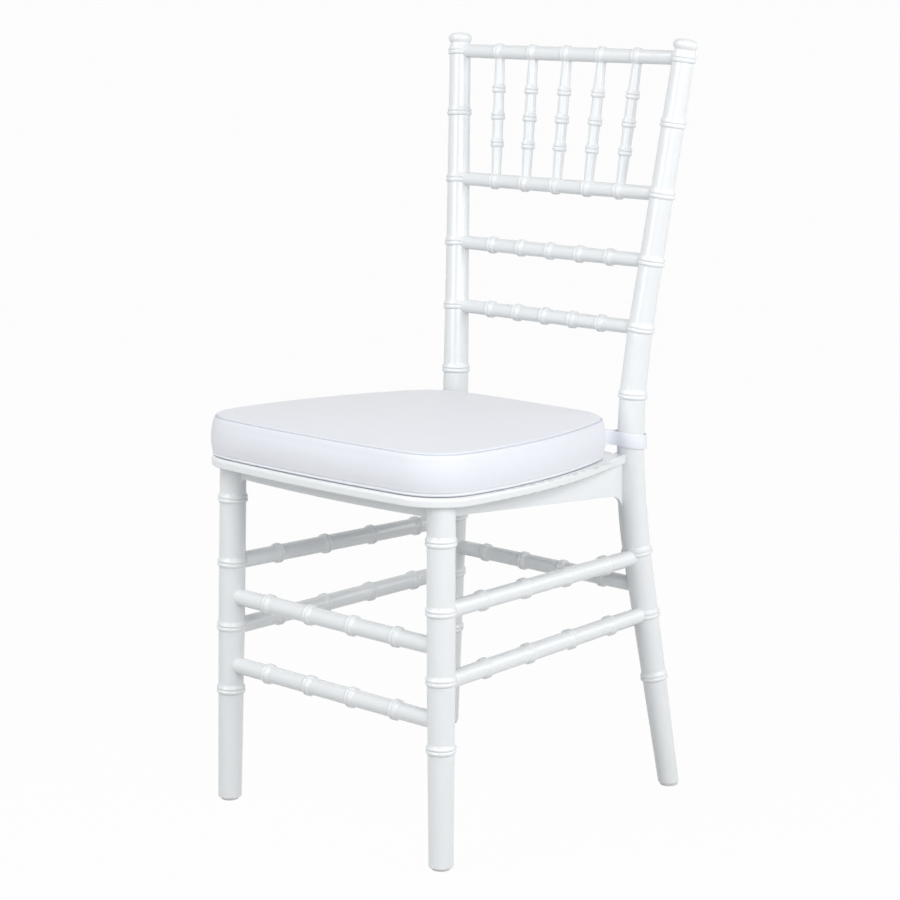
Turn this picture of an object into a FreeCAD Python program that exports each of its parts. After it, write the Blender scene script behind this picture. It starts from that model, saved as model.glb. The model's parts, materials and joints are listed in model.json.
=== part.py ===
import FreeCAD, Part
import math
import os

from FreeCAD import Rotation, Vector

# A chiavari chair: turned legs and posts with bamboo-like rings, a moulded seat and a strapped cushion.
# Millimetres. +Z is up, the chair faces -Y, and left and right are as seen from the front.
# Heights are above the floor. Depths are from the middle of the seat, and the last step centres the whole chair.

# Whole chair
chair_height = 916.0
seat_height = 430.0
seat_slope = 0.028
seat_front_depth = -207.5

# Front legs: half the distance between their axes, and the depth of the axes, at the floor and at the seat
leg_foot_half_spacing = 176.0
leg_top_half_spacing = 169.0
leg_foot_depth = -170.0
leg_top_depth = -162.0
leg_radius = 16.0
leg_foot_radius = 14.2
leg_taper_height = 220.0

# Back posts: three places that the axis heads for, and the height over which it bends at the waist
post_foot_half_spacing = 186.0
post_foot_depth = 234.8
post_waist_half_spacing = 137.4
post_waist_depth = 194.8
post_waist_height = 429.0
post_top_half_spacing = 181.5
post_top_depth = 252.2
post_bend_half_height = 142.0

# Height from one section of a back post to the next, and the straight room on each side of a ring
post_section_step = 48.0
post_ring_room = 9.0

# Extra length of a turned leg or post past its cut ends, and the reach of a block that cuts the whole chair
blank_run_out = 12.0
cut_reach = 600.0

# Back posts: radius at five heights
post_foot_radius = 12.6
post_swell_radius = 17.8
post_swell_height = 330.0
post_seat_radius = 16.5
post_seat_height = 440.0
post_back_radius = 14.8
post_back_height = 620.0
post_top_radius = 13.4

# Levels of the rings on legs and posts
lower_ring_level = 139.5
lower_ring_pitch = 78.7
finial_ring_level = 893.5
upper_ring_pitch = 80.6
upper_ring_count = 6
lower_ring_count = 3
leg_ring_count = 4
second_ring_lift = 3.5

# Form of a ring: a concave flare up to a lip, a groove, then a rounded bead
ring_lip = 2.0
ring_groove = 1.1
ring_flare_length = 7.5
ring_lip_length = 2.8
ring_bead_length = 5.2
ring_bead_rise = 0.2
ring_bead_foot = 0.7
ring_flare_bend_share = (0.3, 0.42)
spindle_ring_scale = 1.0

# Finial above the top ring
finial_neck_height = 9.6
finial_rim_height = 10.9
finial_widest_height = 15.3
finial_neck_radius = 12.1
finial_radius = 15.0
finial_rim_inset = 2.0
finial_rim_bend_inset = 0.43
finial_shoulder_inset = 1.93
finial_shoulder_share = 0.73
finial_crown_radius = 10.0
finial_crown_rise = 1.0

# Rails of the back, spindles and stretchers
rail_end_radius = 8.5
rail_middle_radius = 8.9
rail_ring_count = 5
spindle_end_radius = 5.8
spindle_middle_radius = 6.9
spindle_ring_count = 3
spindle_ring_level = 813.7
spindle_ring_pitch = 34.0
stretcher_end_radius = 9.9
stretcher_middle_radius = 10.2
back_stretcher_end_radius = 9.2
back_stretcher_middle_radius = 9.5
stretcher_ring_count = 4
front_stretcher_ring_pitch = 70.0
back_stretcher_ring_pitch = 64.6
side_stretcher_ring_pitch = 77.5
front_stretcher_levels = {"upper": 255.0, "lower": 170.0}
side_stretcher_front_levels = {"upper": seat_height - 134.0, "lower": seat_height - 215.0}
side_stretcher_rear_levels = {"upper": seat_height - 140.0, "lower": seat_height - 212.0}
back_stretcher_level = 252.6

# Tenons and their sockets
bar_tenon_radius = 6.0
spindle_tenon_radius = 3.5
spindle_tenon_length = 5.0
tenon_root = 3.0
tenon_fit = 0.1
tenon_end_gap = 0.5
socket_run_out = 10.0

# Seat panel: plate, skirt, ribs, corner blocks
plate_thickness = 11.5
plate_top_edge_radius = 4.5
plate_low_edge_radius = 2.0
plate_skin = 4.5
seat_front_half_width = 195.5
seat_corner_depth = -197.5
seat_side_middle = (197.3, -19.0)
seat_side_rear = (156.0, 160.0)
seat_rear_depth = 190.0
seat_rear_bow = 2.0
seat_front_corner_radius = 61.0
seat_rear_corner_radius = 40.0
skirt_wall = 4.0
skirt_front_bow = 11.0
skirt_front_drop = 17.0
skirt_side_drop = 15.0
skirt_rear_drop = 41.0
skirt_back_drop = 28.0
skirt_foot_drop = 22.0
skirt_foot_length = 20.0
skirt_foot_bend_share = (0.66, 0.28)
skirt_corner_radius = 6.0
rib_thickness = 3.0
rib_drop = 9.0
rib_places_across = (-60.0, 0.0, 60.0)
rib_places_along = (-85.0, -5.0, 75.0)
pocket_border = 52.0
pocket_corner_radius = 20.0
corner_block = 27.0
block_rise = 2.0
front_block_setback = 6.0
rear_block_setback = 4.0
rear_tab_length = 46.0
rear_tab_thickness = 10.5
rear_tab_front_half_width = 160.0
rear_tab_rear_half_width = 148.5
rear_tab_width = 16.0

# Seat screws and leg spigots
spigot_radius = 9.0
spigot_height = 6.0
spigot_root = 40.0
screw_radius = 2.5
screw_length = 30.0
screw_head_radius = 5.0
screw_head_height = 3.0
screw_tip_gap = 2.0
screw_lean = 0.8
screw_fit = 0.1
screw_hole_fit = 0.3

# Foot glides
glide_height = 2.5
glide_radius = 11.0
glide_edge_radius = 0.8
glide_stem_radius = 4.0
glide_stem_length = 14.0
foot_edge_radius = 2.2

# Cushion
cushion_rest_gap = 0.3
cushion_overhang = 1.5
cushion_underside_inset = 15.0
cushion_low_seam = 1.6
cushion_low_inset = 2.0
cushion_middle = 24.0
cushion_top_seam = 46.5
cushion_top_inset = 3.8
cushion_crown = 12.5
cushion_crown_steps = (0.88, 0.62, 0.3)
cushion_front_corner_radius = 58.0
cushion_side_middle = (196.2, -19.0)
cushion_side_rear = (147.0, 160.0)
cushion_rear_depth = 177.0
cushion_rear_bow = 5.0
cushion_rear_corner_radius = 66.0
cushion_seam_share = 0.4
cover_thickness = 1.2

# Cushion straps
strap_width = 18.5
strap_thickness = 3.8
strap_tab_thickness = 4.6
strap_height_above_plate = 16.2
strap_gap = 0.4


def unit(vector):
    """The vector at length one."""
    return vector * (1.0 / vector.Length)


def moved(shape, placement):
    """A copy of a shape, moved on from wherever it is."""
    other = shape.copy()
    other.Placement = placement.multiply(shape.Placement)
    return other


def placed(shape, start, direction):
    """A shape built up the Z axis, turned to a direction and moved to a start point."""
    return moved(shape, FreeCAD.Placement(start, Rotation(Vector(0, 0, 1), direction)))


def mirrored(shape):
    """The same piece for the other side of the chair."""
    return shape.mirror(Vector(0, 0, 0), Vector(1, 0, 0))


def rod(start, end, radius):
    """A plain round rod between two points."""
    run = end - start
    return Part.makeCylinder(radius, run.Length, start, run)


def fused(first, others):
    """One solid from touching solids, with the seams between coplanar faces removed."""
    return first.fuse(others).removeSplitter() if others else first


def largest(shape):
    """The largest solid of a shape, without the offcuts."""
    return max(shape.Solids, key=lambda solid: solid.Volume)


def arc_on(centre, radius, start, end):
    """The short arc on a circle between two of its points, in a horizontal plane."""
    middle = unit(unit(start - centre) + unit(end - centre)) * radius + centre
    return Part.Arc(start, middle, end).toShape()


# Axes of the legs and posts on the right-hand side

def leg_point(height):
    """A point on the right front leg's axis."""
    share = height / seat_height
    across = leg_foot_half_spacing + (leg_top_half_spacing - leg_foot_half_spacing) * share
    depth = leg_foot_depth + (leg_top_depth - leg_foot_depth) * share
    return Vector(across, depth, height)


def leg_radius_at(height):
    """Radius of a front leg, which tapers below its second ring from the floor."""
    share = max(0.0, min(1.0, height / leg_taper_height))
    return leg_foot_radius + (leg_radius - leg_foot_radius) * share


def post_point(height):
    """A point on the right back post's axis: straight, bent at the waist over a parabola, straight again."""
    rise = chair_height - post_waist_height
    upper = Vector(post_top_half_spacing - post_waist_half_spacing, post_top_depth - post_waist_depth, 0)
    upper = upper * (1.0 / rise)
    lower = Vector(post_waist_half_spacing - post_foot_half_spacing, post_waist_depth - post_foot_depth, 0)
    lower = lower * (1.0 / post_waist_height)
    above = height - post_waist_height
    waist = Vector(post_waist_half_spacing, post_waist_depth, height)
    if above >= post_bend_half_height:
        return waist + upper * above
    if above <= -post_bend_half_height:
        return waist + lower * above
    share = (above + post_bend_half_height) / (2.0 * post_bend_half_height)
    return waist + upper * (post_bend_half_height * share**2) - lower * (post_bend_half_height * (1.0 - share)**2)


def post_direction(height):
    """Direction of the right back post's axis at a height."""
    step = 0.5
    return unit(post_point(height + step) - post_point(height - step))


def post_radius_at(height):
    """Radius of a back post, from its five named radii."""
    stations = (
        (0.0, post_foot_radius),
        (post_swell_height, post_swell_radius),
        (post_seat_height, post_seat_radius),
        (post_back_height, post_back_radius),
        (finial_ring_level, post_top_radius),
    )
    if height <= 0.0:
        return post_foot_radius
    for (low, low_radius), (high, high_radius) in zip(stations, stations[1:]):
        if height <= high:
            return low_radius + (high_radius - low_radius) * (height - low) / (high - low)
    return post_top_radius


leg_ring_levels = [lower_ring_level + lower_ring_pitch * k for k in range(leg_ring_count)]
post_ring_levels = [lower_ring_level + lower_ring_pitch * k for k in range(lower_ring_count)]
post_ring_levels += [finial_ring_level, finial_ring_level - upper_ring_pitch + second_ring_lift]
post_ring_levels += [finial_ring_level - upper_ring_pitch * k for k in range(2, upper_ring_count)]
rail_levels = {
    "top_rail": finial_ring_level,
    "spindle_rail": finial_ring_level - 2 * upper_ring_pitch,
    "middle_back_rail": finial_ring_level - 3 * upper_ring_pitch,
    "lower_back_rail": finial_ring_level - 4 * upper_ring_pitch,
}

# Length of a bar's tenon from its holder's axis to just inside the bar
tenon_reach = post_swell_radius + ring_lip + tenon_root


# Turned forms

def ring_edges(at, radius, flare, scale):
    """Outline of a ring on a turned bar, from low to high, with the flare on the side that its sign names."""
    lip = radius + ring_lip * scale
    groove = radius + (ring_lip - ring_groove) * scale
    reach = ring_flare_length * scale
    lip_end = ring_lip_length * scale
    bead_end = ring_bead_length * scale
    flare_start = Vector(radius, 0, at + flare * reach)
    bend_out, bend_along = ring_flare_bend_share
    bend_at = at + flare * (lip_end + bend_along * (reach - lip_end))
    flare_bend = Vector(radius + bend_out * ring_lip * scale, 0, bend_at)
    lip_start = Vector(lip - ring_bead_rise * scale, 0, at + flare * lip_end)
    lip_top = Vector(lip, 0, at + flare * lip_end / 2.0)
    groove_low = Vector(groove, 0, at)
    bead_top = Vector(lip + ring_bead_rise * scale, 0, at - flare * bead_end / 2.0)
    bead_close = Vector(radius + ring_bead_foot * scale, 0, at - flare * bead_end)
    bead_root = Vector(radius, 0, at - flare * bead_end)
    edges = [
        Part.Arc(flare_start, flare_bend, lip_start).toShape(),
        Part.Arc(lip_start, lip_top, groove_low).toShape(),
        Part.Arc(groove_low, bead_top, bead_close).toShape(),
        Part.makeLine(bead_close, bead_root),
    ]
    return (flare_start, bead_root, edges) if flare < 0 else (bead_root, flare_start, edges[::-1])


def turned_bar(start, end, radius_at, ring_places, flare, scale=1.0):
    """A turned bar between two points. Its rings flare towards the end where flare is +1, and the start where -1."""
    length = (end - start).Length
    edges = [Part.makeLine(Vector(0, 0, 0), Vector(radius_at(0.0), 0, 0))]
    here = Vector(radius_at(0.0), 0, 0)
    for place in sorted(ring_places):
        low, high, outline = ring_edges(place, radius_at(place), flare, scale)
        edges.append(Part.makeLine(here, low))
        edges += outline
        here = high
    top = Vector(radius_at(length), 0, length)
    edges += [Part.makeLine(here, top), Part.makeLine(top, Vector(0, 0, length))]
    edges.append(Part.makeLine(Vector(0, 0, length), Vector(0, 0, 0)))
    face = Part.Face(Part.Wire(Part.__sortEdges__(edges)))
    return placed(face.revolve(Vector(0, 0, 0), Vector(0, 0, 1), 360), start, end - start)


def swelling(end_radius, middle_radius, length):
    """Radius along a bar that is thickest in the middle."""
    return lambda place: end_radius + (middle_radius - end_radius) * math.sin(math.pi * max(0.0, place) / length)


def even_places(length, count, pitch):
    """Places of evenly spaced rings about the middle of a bar."""
    return [length / 2.0 + pitch * (k - (count - 1) / 2.0) for k in range(count)]


def finial():
    """The right back post's top ring and the button-shaped knob on a neck above it, turned in one."""
    ring = post_point(finial_ring_level)
    direction = post_direction(finial_ring_level)
    top = (chair_height - finial_ring_level) / direction.z
    low, high, ring_outline = ring_edges(0.0, post_top_radius, 1, 1.0)
    base = Vector(0, 0, -post_ring_room)
    foot = Vector(post_radius_at(finial_ring_level - post_ring_room * direction.z), 0, -post_ring_room)
    neck = Vector(finial_neck_radius, 0, finial_neck_height)
    rim = Vector(finial_radius - finial_rim_inset, 0, finial_rim_height)
    widest = Vector(finial_radius, 0, finial_widest_height)
    rim_bend = Vector(finial_radius - finial_rim_bend_inset, 0, (finial_rim_height + finial_widest_height) / 2.0)
    crown = Vector(finial_crown_radius, 0, top - finial_crown_rise)
    shoulder_height = finial_widest_height + finial_shoulder_share * (crown.z - finial_widest_height)
    shoulder = Vector(finial_radius - finial_shoulder_inset, 0, shoulder_height)
    ball_radius = (finial_crown_radius**2 + finial_crown_rise**2) / (2.0 * finial_crown_rise)
    ball_centre = Vector(0, 0, top - ball_radius)
    peak = Vector(0, 0, top)
    crown_bend = ball_centre + unit(unit(crown - ball_centre) + Vector(0, 0, 1)) * ball_radius
    edges = [Part.makeLine(base, foot), Part.makeLine(foot, low)] + ring_outline
    edges += [
        Part.makeLine(high, neck),
        Part.makeLine(neck, rim),
        Part.Arc(rim, rim_bend, widest).toShape(),
        Part.Arc(widest, shoulder, crown).toShape(),
        Part.Arc(crown, crown_bend, peak).toShape(),
        Part.makeLine(peak, base),
    ]
    face = Part.Face(Part.Wire(Part.__sortEdges__(edges)))
    return placed(face.revolve(Vector(0, 0, 0), Vector(0, 0, 1), 360), ring, direction)


def post_circle(point, direction):
    """Cross-section of the right back post at a point near its axis."""
    circle = Part.Circle(Vector(0, 0, 0), Vector(0, 0, 1), post_radius_at(point.z))
    return placed(Part.Wire([circle.toShape()]), point, direction)


def post_shaft(low, low_direction, high, high_direction):
    """A bare length of the right back post between two points, whose ends face the given directions."""
    rise = high.z - low.z
    count = max(1, round(rise / post_section_step))
    sections = [post_circle(low, low_direction)]
    for number in range(1, count):
        height = low.z + rise * number / count
        sections.append(post_circle(post_point(height), post_direction(height)))
    sections.append(post_circle(high, high_direction))
    return Part.makeLoft(sections, True, False)


def foot_cut(solid):
    """A leg or post cut level above its glide, with its lower edge rounded and a socket for the glide's stem."""
    corner = Vector(-cut_reach, -cut_reach, glide_height - cut_reach)
    cut = solid.cut(Part.makeBox(2 * cut_reach, 2 * cut_reach, cut_reach, corner))
    rim = [e for e in cut.Edges if e.BoundBox.ZMax < glide_height + 0.01 and e.Length > glide_radius]
    return cut.makeFillet(foot_edge_radius, rim)


# Shapes in the seat's own plane, where the plate's top is height zero, and the turn that lays them on the chair

def on_seat(shape):
    """Moves a shape from the seat's plane to its place on the chair, sloping down to the rear."""
    turn = Rotation(Vector(1, 0, 0), -math.degrees(math.atan(seat_slope)))
    pivot = Vector(0, seat_corner_depth, 0)
    return moved(shape, FreeCAD.Placement(Vector(0, 0, seat_height), turn, pivot))


def all_above(height):
    """A block on the chair that holds everything above a height over the plate's top."""
    corner = Vector(-cut_reach, -cut_reach, height)
    return on_seat(Part.makeBox(2 * cut_reach, 2 * cut_reach, cut_reach, corner))


def plate_height_at(depth):
    """Height of the plate's top above the floor at a depth."""
    return seat_height - seat_slope * (depth - seat_corner_depth)


def circle_through(first, second, third):
    """Centre and radius of the circle through three points of a horizontal plane."""
    circle = Part.Circle(first, second, third)
    return circle.Center, circle.Radius


def meeting_point(first, first_radius, second, second_radius, near):
    """The point, of two, where circles meet that lies nearer to a given point."""
    gap = second - first
    along = (gap.Length**2 + first_radius**2 - second_radius**2) / (2.0 * gap.Length)
    aside = math.sqrt(first_radius**2 - along**2)
    forward = unit(gap)
    left = Vector(-forward.y, forward.x, 0)
    choices = [first + forward * along + left * aside, first + forward * along - left * aside]
    return min(choices, key=lambda point: (point - near).Length)


def seat_outline(
    inset, height, side_middle, side_rear, rear_depth, rear_bow, front_corner_radius, rear_corner_radius
):
    """Closed outline of the seat: bowed front, bowed sides, nearly straight rear, and four round corners."""
    front_bow = seat_corner_depth - seat_front_depth
    front_radius = (seat_front_half_width**2 + front_bow**2) / (2.0 * front_bow)
    front_centre = Vector(0, seat_front_depth + front_radius, 0)
    corner = Vector(seat_front_half_width, seat_corner_depth, 0)
    side_centre, side_radius = circle_through(corner, Vector(*side_middle, 0), Vector(*side_rear, 0))
    rear_radius = (side_rear[0]**2 + rear_bow**2) / (2.0 * rear_bow)
    rear_centre = Vector(0, rear_depth - rear_radius, 0)
    front_corner = meeting_point(
        front_centre, front_radius - front_corner_radius, side_centre, side_radius - front_corner_radius, corner
    )
    rear_corner = meeting_point(
        rear_centre, rear_radius - rear_corner_radius, side_centre, side_radius - rear_corner_radius,
        Vector(side_rear[0], rear_depth, 0),
    )

    def touch(centre, radius, small_centre):
        return centre + unit(small_centre - centre) * (radius - inset)

    front_right = touch(front_centre, front_radius, front_corner)
    side_front = touch(side_centre, side_radius, front_corner)
    side_rear = touch(side_centre, side_radius, rear_corner)
    rear_right = touch(rear_centre, rear_radius, rear_corner)

    def flipped(point):
        return Vector(-point.x, point.y, point.z)

    right = [
        arc_on(front_corner, front_corner_radius - inset, front_right, side_front),
        arc_on(side_centre, side_radius - inset, side_front, side_rear),
        arc_on(rear_corner, rear_corner_radius - inset, side_rear, rear_right),
    ]
    left = [
        arc_on(flipped(rear_corner), rear_corner_radius - inset, flipped(rear_right), flipped(side_rear)),
        arc_on(flipped(side_centre), side_radius - inset, flipped(side_rear), flipped(side_front)),
        arc_on(flipped(front_corner), front_corner_radius - inset, flipped(side_front), flipped(front_right)),
    ]
    front = arc_on(front_centre, front_radius - inset, flipped(front_right), front_right)
    rear = arc_on(rear_centre, rear_radius - inset, rear_right, flipped(rear_right))
    wire = Part.Wire([front] + right + [rear] + left)
    wire.translate(Vector(0, 0, height))
    return wire


def plate_outline(inset, height):
    """Outline of the seat plate."""
    return seat_outline(
        inset, height, seat_side_middle, seat_side_rear, seat_rear_depth, seat_rear_bow,
        seat_front_corner_radius, seat_rear_corner_radius,
    )


def cushion_outline(inset, height):
    """Outline of the cushion, which overhangs the plate and rounds off between the back posts."""
    return seat_outline(
        inset - cushion_overhang, height, cushion_side_middle, cushion_side_rear, cushion_rear_depth,
        cushion_rear_bow, cushion_front_corner_radius, cushion_rear_corner_radius,
    )


def prism(points, height, drop):
    """An upright prism on a horizontal polygon."""
    corners = [Vector(x, y, height) for x, y in points]
    return Part.Face(Part.makePolygon(corners + corners[:1])).extrude(Vector(0, 0, -drop))


# Seat panel

def seat_plate():
    """The plate with its rounded rim, its rear tabs against the posts, and a pocket that leaves a skin on top."""
    slab = Part.Face(plate_outline(0.0, -plate_thickness)).extrude(Vector(0, 0, plate_thickness))
    top_rim = [e for e in slab.Edges if e.BoundBox.ZMin > -0.01]
    slab = slab.makeFillet(plate_top_edge_radius, top_rim)
    low_rim = [e for e in slab.Edges if e.BoundBox.ZMax < 0.01 - plate_thickness]
    slab = slab.makeFillet(plate_low_edge_radius, low_rim)
    tab_front = seat_rear_depth - rear_tab_length
    corners = [
        (rear_tab_front_half_width, tab_front),
        (rear_tab_rear_half_width, seat_rear_depth),
        (rear_tab_rear_half_width - rear_tab_width, seat_rear_depth),
        (rear_tab_front_half_width - rear_tab_width, tab_front),
    ]
    tab = prism(corners, 0.0, rear_tab_thickness)
    pocket = Part.Face(pocket_outline(pocket_border)).extrude(Vector(0, 0, plate_thickness - plate_skin))
    return fused(slab, [tab, mirrored(tab)]).cut(pocket)


def pocket_outline(border):
    """Outline of the pocket under the plate: the plate's own bounds less a border, with round corners."""
    half = seat_front_half_width - border
    front = seat_front_depth + border
    rear = seat_rear_depth - border / 2.0
    rear_half = seat_side_rear[0] - border / 2.0
    block = prism([(-half, front), (half, front), (rear_half, rear), (-rear_half, rear)], 0.0, plate_thickness)
    upright = [e for e in block.Edges if e.BoundBox.ZLength > plate_thickness / 2.0]
    block = block.makeFillet(pocket_corner_radius, upright)
    low = [f for f in block.Faces if f.BoundBox.ZMax < 0.01 - plate_thickness][0]
    return low.OuterWire


def seat_ribs():
    """Ribs that cross the pocket under the plate, from the skin down past the plate's underside."""
    tall = plate_thickness - plate_skin + rib_drop
    region = Part.Face(pocket_outline(pocket_border - skirt_wall)).extrude(Vector(0, 0, tall))
    region.translate(Vector(0, 0, -rib_drop))
    low = -plate_thickness - rib_drop
    bars = []
    for across in rib_places_across:
        corner = Vector(across - rib_thickness / 2.0, -cut_reach, low)
        bars.append(Part.makeBox(rib_thickness, 2 * cut_reach, tall, corner))
    for along in rib_places_along:
        corner = Vector(-cut_reach, along - rib_thickness / 2.0, low)
        bars.append(Part.makeBox(2 * cut_reach, rib_thickness, tall, corner))
    return bars[0].fuse(bars[1:]).common(region)


def front_skirt(leg_top):
    """The bowed wall under the plate's front edge, between the legs, rounded down into each leg."""
    half = leg_top.x
    outer = Part.Arc(
        Vector(-half, leg_top.y, 0), Vector(0, leg_top.y - skirt_front_bow, 0), Vector(half, leg_top.y, 0)
    ).toShape()
    inner = Part.Arc(
        Vector(-half, leg_top.y + skirt_wall, 0),
        Vector(0, leg_top.y - skirt_front_bow + skirt_wall, 0),
        Vector(half, leg_top.y + skirt_wall, 0),
    ).toShape()
    ends = [Part.makeLine(outer.Vertexes[k].Point, inner.Vertexes[k].Point) for k in (0, 1)]
    wire = Part.Wire(Part.__sortEdges__([outer, inner] + ends))
    low = -plate_thickness - skirt_front_drop - skirt_corner_radius
    wall = Part.Face(wire).extrude(Vector(0, 0, skirt_front_drop + skirt_corner_radius))
    wall.translate(Vector(0, 0, low))
    clear_half = half - leg_radius
    corner = Vector(-clear_half, -cut_reach, low - skirt_corner_radius)
    slot = Part.makeBox(2 * clear_half, 2 * cut_reach, 2 * skirt_corner_radius, corner)
    upper = [
        e for e in slot.Edges
        if abs(e.BoundBox.ZMin - low - skirt_corner_radius) < 0.01 and e.BoundBox.XLength < 0.01
    ]
    return wall.cut(slot.makeFillet(skirt_corner_radius, upper))


def side_skirt(leg_top, post_top):
    """The right side wall, which deepens to the rear and ends in a pointed foot down the back post."""
    run = Vector(post_top.x - leg_top.x, post_top.y - leg_top.y, 0)
    length = run.Length
    top = -plate_thickness
    front_low = top - skirt_side_drop
    rear_low = top - skirt_rear_drop
    post_face = length - post_seat_radius
    foot_at = post_face - skirt_foot_length
    low_at_foot = front_low + (rear_low - front_low) * foot_at / length
    foot_start = Vector(foot_at, 0, low_at_foot)
    foot_tip = Vector(post_face + skirt_wall, 0, low_at_foot - skirt_foot_drop)
    bend_along, bend_down = skirt_foot_bend_share
    foot_bend = Vector(foot_at + bend_along * (foot_tip.x - foot_at), 0, low_at_foot - bend_down * skirt_foot_drop)
    corners = [foot_tip, Vector(length, 0, foot_tip.z), Vector(length, 0, top), Vector(0, 0, top)]
    corners += [Vector(0, 0, front_low), foot_start]
    outline = Part.makePolygon(corners).Edges + [Part.Arc(foot_start, foot_bend, foot_tip).toShape()]
    wall = Part.Face(Part.Wire(outline)).extrude(Vector(0, skirt_wall, 0))
    return moved(wall, FreeCAD.Placement(Vector(leg_top.x, leg_top.y, 0), Rotation(Vector(1, 0, 0), run)))


def back_skirt(post_top):
    """The straight wall under the plate's rear edge, between the posts."""
    corner = Vector(-post_top.x, seat_rear_depth - 2.0 * skirt_wall, -plate_thickness - skirt_back_drop)
    return Part.makeBox(2 * post_top.x, skirt_wall, skirt_back_drop, corner)


def corner_blocks(leg_top, post_top):
    """Solid blocks in the right-hand corners under the plate, which the seat screws pass through."""
    front_height = skirt_front_drop - block_rise
    rear_height = skirt_back_drop - block_rise
    front_corner = Vector(
        leg_top.x - corner_block - front_block_setback, leg_top.y + skirt_wall, -plate_thickness - front_height
    )
    rear_corner = Vector(
        post_top.x - corner_block - rear_block_setback, seat_rear_depth - corner_block - skirt_wall - block_rise,
        -plate_thickness - rear_height,
    )
    front = Part.makeBox(corner_block, corner_block, front_height, front_corner)
    rear = Part.makeBox(corner_block, corner_block, rear_height, rear_corner)
    return [front, rear]


def screw_line(target, height, lean):
    """Start and direction of a seat screw that runs level, and outwards, to a leg's or post's axis."""
    out = unit(Vector(1, lean, 0))
    aim = Vector(target.x, target.y, height)
    return aim - out * (screw_length + screw_tip_gap), out


def screw(start, out, swell):
    """A pan-headed screw, or the room that it needs when swell is more than nothing."""
    head = Part.makeCylinder(screw_head_radius + swell, screw_head_height, start - out * screw_head_height, out)
    shank = Part.makeCylinder(screw_radius + swell, screw_length, start, out)
    return head.fuse(shank).removeSplitter()


# Bars between the legs and posts

def between(start, end, holders, radius_at, ring_places, flare):
    """A bar coped to what holds its two ends, with a tenon reaching to the holder's axis at each end."""
    bar = turned_bar(start, end, radius_at, ring_places, flare)
    bar = largest(bar.cut(holders[0]).cut(holders[1]))
    reach = unit(end - start) * tenon_reach
    first = rod(start, start + reach, bar_tenon_radius)
    last = rod(end, end - reach, bar_tenon_radius)
    return fused(bar, [first, last])


def socket(start, direction):
    """Room for a bar's tenon in its holder, from just past the holder's axis out through its side."""
    begin = start - direction * tenon_end_gap
    return rod(begin, start + direction * (tenon_reach + socket_run_out), bar_tenon_radius + tenon_fit)


def level_bar(level, point_at, end_radius, middle_radius, count, pitch, holders):
    """A level bar from the left side to the right, with its rings flaring to the right."""
    right = point_at(level)
    left = Vector(-right.x, right.y, right.z)
    length = 2.0 * right.x
    places = even_places(length, count, pitch)
    radius_at = swelling(end_radius, middle_radius, length)
    return between(left, right, holders, radius_at, places, 1)


def side_bar(name, holders):
    """A right-hand side stretcher, with its rings flaring to the front."""
    front = leg_point(side_stretcher_front_levels[name])
    rear = post_point(side_stretcher_rear_levels[name])
    length = (rear - front).Length
    places = even_places(length, stretcher_ring_count, side_stretcher_ring_pitch)
    radius_at = swelling(stretcher_end_radius, stretcher_middle_radius, length)
    return between(front, rear, holders, radius_at, places, -1)


def rail_ring_pitch(level):
    """Rings part the clear length of a back rail evenly."""
    clear = 2.0 * (post_point(level).x - post_radius_at(level))
    return clear / (rail_ring_count + 1)


def spindle_ends(number):
    """Lower and upper end of a spindle's axis, on the axes of its two rails."""
    ends = []
    for level in (rail_levels["spindle_rail"], rail_levels["top_rail"]):
        across = rail_ring_pitch(level) * (number - (rail_ring_count - 1) / 2.0)
        ends.append(Vector(across, post_point(level).y, level))
    return ends


def spindle(number, rails):
    """A spindle of the back, coped to its two rails, with a short tenon in each."""
    low, high = spindle_ends(number)
    run = high - low
    length = run.Length
    direction = unit(run)
    middle = (spindle_ring_level - low.z) / direction.z
    pitch = spindle_ring_pitch / direction.z
    places = [middle + pitch * (k - (spindle_ring_count - 1) / 2.0) for k in range(spindle_ring_count)]
    radius_at = swelling(spindle_end_radius, spindle_middle_radius, length)
    bar = turned_bar(low, high, radius_at, places, 1, spindle_ring_scale)
    for rail in rails:
        bar = bar.cut(rail)
    bar = largest(bar)
    reach = rail_middle_radius + ring_lip + tenon_root
    inside = rail_middle_radius - spindle_tenon_length
    first = rod(low + direction * inside, low + direction * reach, spindle_tenon_radius)
    last = rod(high - direction * inside, high - direction * reach, spindle_tenon_radius)
    return fused(bar, [first, last])


def spindle_socket(end, direction):
    """Room in a rail for a spindle's tenon."""
    inside = rail_middle_radius - spindle_tenon_length - tenon_end_gap
    reach = rail_middle_radius + ring_lip + socket_run_out
    return rod(end + direction * inside, end + direction * reach, spindle_tenon_radius + tenon_fit)


# Posts and legs

def back_post_blank():
    """The right back post with its rings and finial, before its sockets are cut."""
    turned = []
    here = post_point(-blank_run_out)
    here_direction = post_direction(-blank_run_out)
    for level in sorted(post_ring_levels):
        direction = post_direction(level)
        low = post_point(level) - direction * post_ring_room
        high = post_point(level) + direction * post_ring_room
        turned.append(post_shaft(here, here_direction, low, direction))
        if level == finial_ring_level:
            turned.append(finial())
        else:
            turned.append(post_ring_piece(low, high))
        here = high
        here_direction = direction
    return foot_cut(turned[0].fuse(turned[1:]))


def post_ring_piece(low, high):
    """A straight length of the right back post with a ring in its middle."""
    rise = unit(high - low).z
    return turned_bar(low, high, lambda place: post_radius_at(low.z + place * rise), [post_ring_room], 1)


def front_leg_blank():
    """The right front leg with its rings, before its top and its sockets are cut."""
    start = leg_point(-blank_run_out)
    end = leg_point(seat_height + blank_run_out)
    rise = unit(end - start).z
    places = [(level - start.z) / rise for level in leg_ring_levels]
    bar = turned_bar(start, end, lambda place: leg_radius_at(start.z + place * rise), places, 1)
    return foot_cut(bar)


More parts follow.
